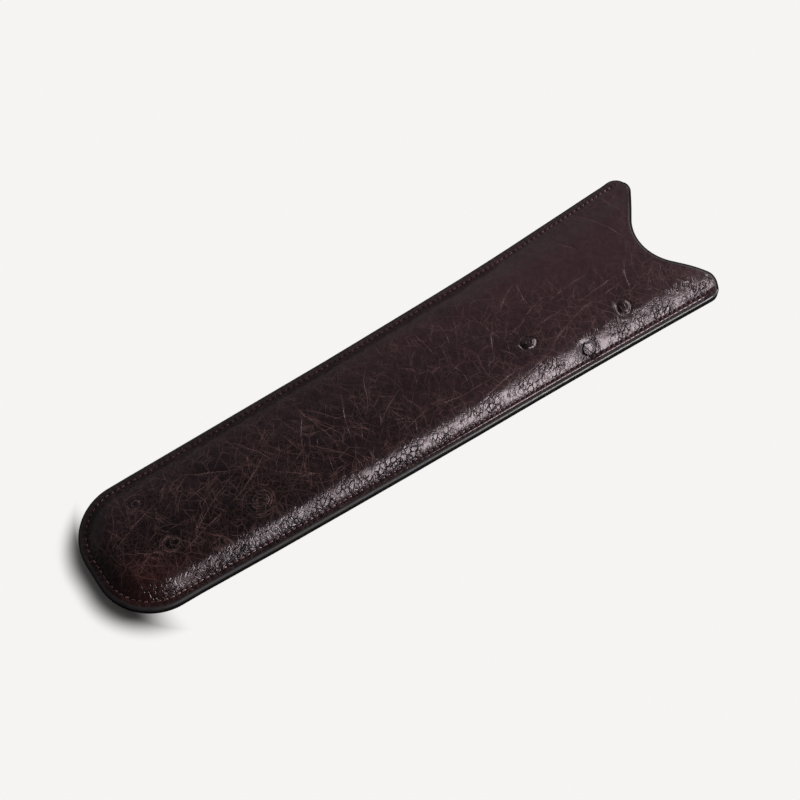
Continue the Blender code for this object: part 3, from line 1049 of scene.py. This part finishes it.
# Where the leather's vertices run along its edge, and the steps of its outlines and lattices
edge_insets = [0.03, 0.09, 0.17, 0.28, 0.42, 0.62, 0.82, 0.94, 1.02, 1.10, 1.18, 1.26, 1.34, 1.46,
               1.60, 1.72, 1.84, 1.94, 2.06, 2.20, 2.40, 2.66, 2.94]
front_step = 0.31 * mm
front_pitch = 0.34 * mm
back_step = 0.45 * mm
back_pitch = 0.55 * mm
plain_step = 1.5 * mm
plain_pitch = 1.8 * mm
lining_step = 1.0 * mm
lining_pitch = 1.1 * mm
lining_insets = [1.2 * mm, 2.5 * mm]
far_face_inset = 2.5 * mm

# Where the creases stop before the edges
fold_inset = 1.2 * mm
fold_fade = 0.8 * mm


def make_leather(name, node, step, points, face, far_face, upward, draw_creases, seed, fold_depth):
    """One half's leather, from the heights of its outer face and of its plain inner face."""
    outline = ring(0.0, step)
    plan, triangles = plan_triangles(outline, points)
    x, y = plan.T
    creases = Creases(x, y)
    draw_creases(creases, np.random.default_rng(seed))
    folds = fold_depth * creases.fold * ease(inside_of(x, y), fold_inset, fold_fade)
    relief = edge_relief(x, y) - edge_drop(x, y) + seam_relief(x, y) - folds
    heights = face(x, y) + (relief if upward else -relief)
    far_lattice = lattice(plain_pitch, far_face_inset + 1.0 * mm)
    far_points = np.vstack([ring(far_face_inset, plain_step), far_lattice])
    far_plan, far_triangles = plan_triangles(outline, far_points)
    far = (far_plan, far_triangles, far_face(*far_plan.T))
    near = (plan, triangles, heights)
    piece = closed_sheet(name, leather_material, len(outline), near, far, upward, upward)
    tag_leather(piece, x, y, creases)
    declare(piece, node)


def make_leathers():
    points = np.vstack([ring_points([i * mm for i in edge_insets], front_step),
                        quill_points(lattice(front_pitch, 3.1 * mm))])
    make_leather("front_leather", "front_outer", front_step, points, front_face, front_underside, True,
                 draw_front_creases, 41, 0.045 * mm)
    points = np.vstack([ring_points([i * mm for i in edge_insets[1::2]], back_step),
                        lattice(back_pitch, 3.3 * mm)])
    make_leather("back_leather", "back_outer", back_step, points, back_face, back_upperside, False,
                 draw_back_creases, 83, 0.05 * mm)


def make_linings():
    """The two linings, each with a slightly rippled face towards the comb."""
    outline = ring(0.0, lining_step)
    points = np.vstack([ring_points(lining_insets, lining_step), lattice(lining_pitch, 3.0 * mm)])
    plan, triangles = plan_triangles(outline, points)
    x, y = plan.T
    front_low = front_lining_z + front_swell * swell(x, y) - lining_press_share * pressed(x, y)
    back_low = back_lining_z - back_swell * swell(x, y)
    rng = np.random.default_rng(5)
    for name, node, near, far, upward in (
            ("front_lining_leather", "front_lining", front_low, front_low + lining_thickness, False),
            ("back_lining_leather", "back_lining", back_low + lining_thickness, back_low, True)):
        near = near + 0.02 * mm * soft_noise(x, y, 6 * mm, rng) * ease(inside_of(x, y), 0, mm)
        piece = closed_sheet(name, lining_material, len(outline), (plan, triangles, near),
                             (plan, triangles, far), upward, not upward)
        declare(piece, node)


def make_edges():
    """The painted edges of the two halves, and the welt's burnished edge between them."""
    step = 0.4 * mm
    base = ring(0.0, step)
    inwards = inward(base)

    def front_rise(x, y):
        return face_rise(x, y) + roll_below_seam + ridge_height - ridge_at(x, y)

    def back_fall(x, y):
        return -back_swell * swell(x, y)

    rim = (front_leather_z + leather_thickness - roll_below_seam - ridge_height - edge_round) / mm
    front_profile = [(0.46, rim + 0.10), (0.40, rim + 0.435), (0.26, rim + 0.40), (0.12, rim + 0.31),
                     (0.00, rim + 0.21), (-0.11, rim + 0.09), (-0.18, rim - 0.03), (-0.20, rim - 0.14),
                     (-0.12, rim - 0.24), (0.10, rim - 0.28), (0.36, rim - 0.20)]
    low = back_leather_z / mm
    high = (back_lining_z + lining_thickness) / mm
    back_profile = [(0.62, low + 0.12), (0.62, low + 0.6), (0.55, high - 0.20), (0.30, high + 0.05),
                    (0.0, high + 0.03), (-0.18, high - 0.12), (-0.22, high - 0.45), (-0.18, low + 0.66),
                    (-0.02, low + 0.38), (0.16, low + 0.18), (0.36, low + 0.07)]
    for name, look, profile, rise, in_front in (
            ("front_edge_paint", front_paint, front_profile, front_rise, True),
            ("back_edge_paint", back_paint, back_profile, back_fall, False)):
        section = [(inset * mm, height * mm) for inset, height in profile[::-1]]
        piece = swept(name, look, base, inwards, section, rise, in_front)
        piece.data.materials.append(back_paint)
        dull = np.repeat(distance_to_side(base[:, 0], base[:, 1]) > 0.9 * mm, len(section))
        piece.data.polygons.foreach_set("material_index", dull.astype(np.int32))
        declare(piece)

    upper_tip = outline_line[:len(outline_line) // 2, 0].argmax()
    strip = resampled(outline_line[upper_tip:len(outline_line) - upper_tip], step)
    ahead = np.gradient(strip, axis=0)
    ahead /= np.linalg.norm(ahead, axis=1)[:, None]
    across = np.stack([-ahead[:, 1], ahead[:, 0]], axis=1)
    edge = [(welt_width, welt_z), (welt_width, welt_top_z), (0.5 * mm, welt_top_z)]
    edge += [(inset * mm, welt_top_z + rise * mm) for inset, rise in
             ((0.15, 0.05), (-0.12, -0.02), (-0.18, -0.12), (-0.18, -0.26), (-0.08, -0.38), (0.15, -0.42))]
    edge += [(0.5 * mm, welt_z)]
    piece = swept("seam_welt", welt_paint, strip, across, edge, lambda x, y: 0 * x, False, closed=False)
    declare(piece, "welt")


def front_seam_height(x, y):
    """The front leather's height at the seam, without its relief."""
    return front_leather_z + leather_thickness + face_rise(x, y)


def back_seam_height(x, y):
    return np.full(len(x), back_leather_z)


thread_radius_across = 0.20 * mm
thread_radius_up = 0.15 * mm
thread_seat = -0.10 * mm + thread_radius_up * 0.55
thread_dip = 0.36 * mm
thread_slant = 0.14 * mm


def make_stitches(name, node, seam_height, side):
    """Single stitches of twisted thread, each from one needle hole to the next. side is 1 on the front
    and -1 on the back."""
    rng = np.random.default_rng(19)
    walked = walked_along(seam_path)
    rings, around = 9, 8
    share = np.linspace(0, 1, rings)[:, None]
    turn = np.linspace(0, 2 * math.pi, around, endpoint=False)
    end = np.abs(2 * share - 1)
    pattern = tube_faces(rings, around, False)
    if side > 0:
        pattern = [face[:1] + face[:0:-1] for face in pattern]
    vertices, faces = [], []
    for i in range(stitch_count):
        slack = rng.normal(0, 0.03 * mm)
        slant = thread_slant * (0.8 + 0.4 * rng.uniform())
        twist = rng.uniform(0, math.pi)
        width = rng.normal(1.0, 0.05)
        place = (i + 0.12 + 0.76 * share[:, 0]) * true_pitch
        before, middle, after = (
            np.stack([np.interp(place + step, walked, seam_path[:, k]) for k in range(2)], axis=1)
            for step in (-0.2 * mm, 0.0, 0.2 * mm))
        run = (after - before) / np.linalg.norm(after - before, axis=1)[:, None]
        aside = np.stack([-run[:, 1], run[:, 0]], axis=1)
        centre = middle + aside * slant * (2 * share - 1)
        strand = 1 + 0.13 * np.cos(3 * turn + twist + 6 * math.pi * share)
        strand = strand * width * (1 - 0.3 * end ** 3)
        across = thread_radius_across * strand * np.cos(turn)
        height = (thread_seat + slack * (1 - end) - thread_dip * end ** 5
                  + thread_radius_up * strand * np.sin(turn))
        plan = centre[:, None, :] + aside[:, None, :] * across[:, :, None]
        z = seam_height(middle[:, 0], middle[:, 1])[:, None] + side * height
        vertices.append(np.dstack([plan, z]).reshape(-1, 3))
        faces += [[i * rings * around + k for k in face] for face in pattern]
    piece = new_object(name, np.vstack(vertices), faces, thread_material, side > 0, 70)
    declare(piece, node)


make_leathers()
make_linings()
make_edges()
make_stitches("front_stitches", "front_thread", front_seam_height, 1)
make_stitches("back_stitches", "back_thread", back_seam_height, -1)
for board in ("front_stiffener", "back_stiffener"):
    frame["nodes"][board].data.materials.clear()
    frame["nodes"][board].data.materials.append(board_material)


# The camera, at the photograph's angle

camera_elevation = math.radians(59.77)
camera_azimuth = math.radians(-34.47)
camera_distance = 376.36 * mm
camera_target = Vector((0.27 * mm, 0.80 * mm, 0.0))
focal_length_px = 1444.29
photo_width_px = 800

forward = Vector((-math.sin(camera_azimuth) * math.cos(camera_elevation),
                  math.cos(camera_azimuth) * math.cos(camera_elevation),
                  -math.sin(camera_elevation)))
camera = linked("camera", bpy.data.cameras.new("camera"))
camera.location = camera_target - forward * camera_distance
camera.rotation_mode = "QUATERNION"
camera.rotation_quaternion = forward.to_track_quat("-Z", "Y")
camera.data.sensor_width = 36.0
camera.data.lens = focal_length_px * camera.data.sensor_width / photo_width_px
camera.data.clip_start = 0.01
camera.data.clip_end = 50
bpy.context.scene.camera = camera


# The floor and the light

floor_colour = (0.930, 0.913, 0.905, 1)
mirrored_floor = (0.05, 0.048, 0.047, 1)
floor_half = 3.0
floor_depth = 0.02 * mm
lamp_distance = 6.0

# The shadow that the floor keeps, in millimetres from the closed end's rounded outline
shadow_start = 0.3
shadow_end = 6.5
shadow_aside = 0.4
shadow_front_lean = 0.15
shadow_front_start = -88.0
shadow_front_end = -79.0


def make_floor():
    """A floor in its plain colour, which keeps the case's shadow close to the closed end. Glossy
    pieces mirror it dimmer than it is."""
    mesh = bpy.data.meshes.new("floor")
    corners = [(x * floor_half, y * floor_half, 0) for x, y in ((-1, -1), (1, -1), (1, 1), (-1, 1))]
    mesh.from_pydata(corners, [], [(0, 1, 2, 3)])
    look = Look("floor_look")
    look.set(Base_Color=floor_colour, Roughness=0.9, Specular_IOR_Level=0.1)
    x, y = (look.axis(look.places(), name) for name in "XY")
    corner = closed_corner_radius / mm
    before = look.most(corner - case_length / 2 / mm - x, 0.0)
    beside = look.most(abs(y + -shadow_aside) + (corner - closed_end_width / 2 / mm), 0.0)
    away = look.math("SQRT", before * before + beside * beside)
    ahead = look.ramp(y * shadow_front_lean + x, shadow_front_start, shadow_front_end)
    plain_share = look.most(look.ramp(away, corner + shadow_start, corner + shadow_end), ahead) * 0.985
    plain = look.node("ShaderNodeEmission", 0, {"Color": floor_colour})
    dim = look.node("ShaderNodeEmission", 0, {"Color": mirrored_floor})
    lit = Value(look, look.shader.outputs[0])
    seen = look.mix_shaders(plain_share * look.is_ray("Camera"), lit, plain)
    surface = look.mix_shaders(look.is_ray("Glossy"), seen, dim)
    look.feed(look.tree.nodes["Material Output"].inputs["Surface"], surface)
    mesh.materials.append(look.material)
    floor = linked("floor", mesh)
    floor.location.z = -floor_depth


def area_light(name, towards, along, distance, width, height, strength):
    """A softbox in a direction from the case, facing it, with its width along a given direction.
    strength is its brightness per area."""
    away = Vector(towards).normalized()
    across = (Vector(along) - away * away.dot(Vector(along))).normalized()
    data = bpy.data.lights.new(name, "AREA")
    data.shape = "RECTANGLE"
    data.size = width
    data.size_y = height
    data.energy = strength * width * height * math.pi
    lamp = linked(name, data)
    turn = Matrix((across, away.cross(across), away)).transposed().to_4x4()
    lamp.matrix_world = Matrix.Translation(away * distance) @ turn
    return lamp


def make_world():
    """A studio that is brighter towards the mouth and the far side, and the floor's colour behind."""
    world = bpy.data.worlds.new("studio")
    bpy.context.scene.world = world
    world.use_nodes = True
    nodes = Nodes(world.node_tree)
    direction = nodes.node("ShaderNodeTexCoord", "Generated")
    strength = (nodes.ramp(nodes.axis(direction, "X"), 0.0, 0.5, 0.045, 0.155)
                + nodes.ramp(nodes.axis(direction, "Y"), 0.38, 0.66, 0.0, 0.13))
    studio = nodes.node("ShaderNodeBackground", 0, {"Color": (1, 0.99, 0.985, 1), "Strength": strength})
    behind = nodes.node("ShaderNodeBackground", 0, {"Color": floor_colour, "Strength": 1.0})
    surface = nodes.mix_shaders(nodes.is_ray("Camera"), studio, behind)
    nodes.feed(world.node_tree.nodes["World Output"].inputs["Surface"], surface)


make_floor()
make_world()
area_light("key", towards=(0.88, -0.06, 0.44), along=(0, 1, 0), distance=lamp_distance,
           width=6.0, height=2.6, strength=7.5)
roll_light = area_light("roll_light", towards=(0.33, -0.73, 0.58), along=(1, 0, 0), distance=lamp_distance,
                        width=1.75, height=2.6, strength=18.5)
lit_pieces = bpy.data.collections.new("lit_pieces")
for piece in bpy.context.scene.objects:
    if piece.type == "MESH" and piece.name != "floor":
        lit_pieces.objects.link(piece)
roll_light.light_linking.receiver_collection = lit_pieces
bpy.context.scene.view_settings.view_transform = "Standard"
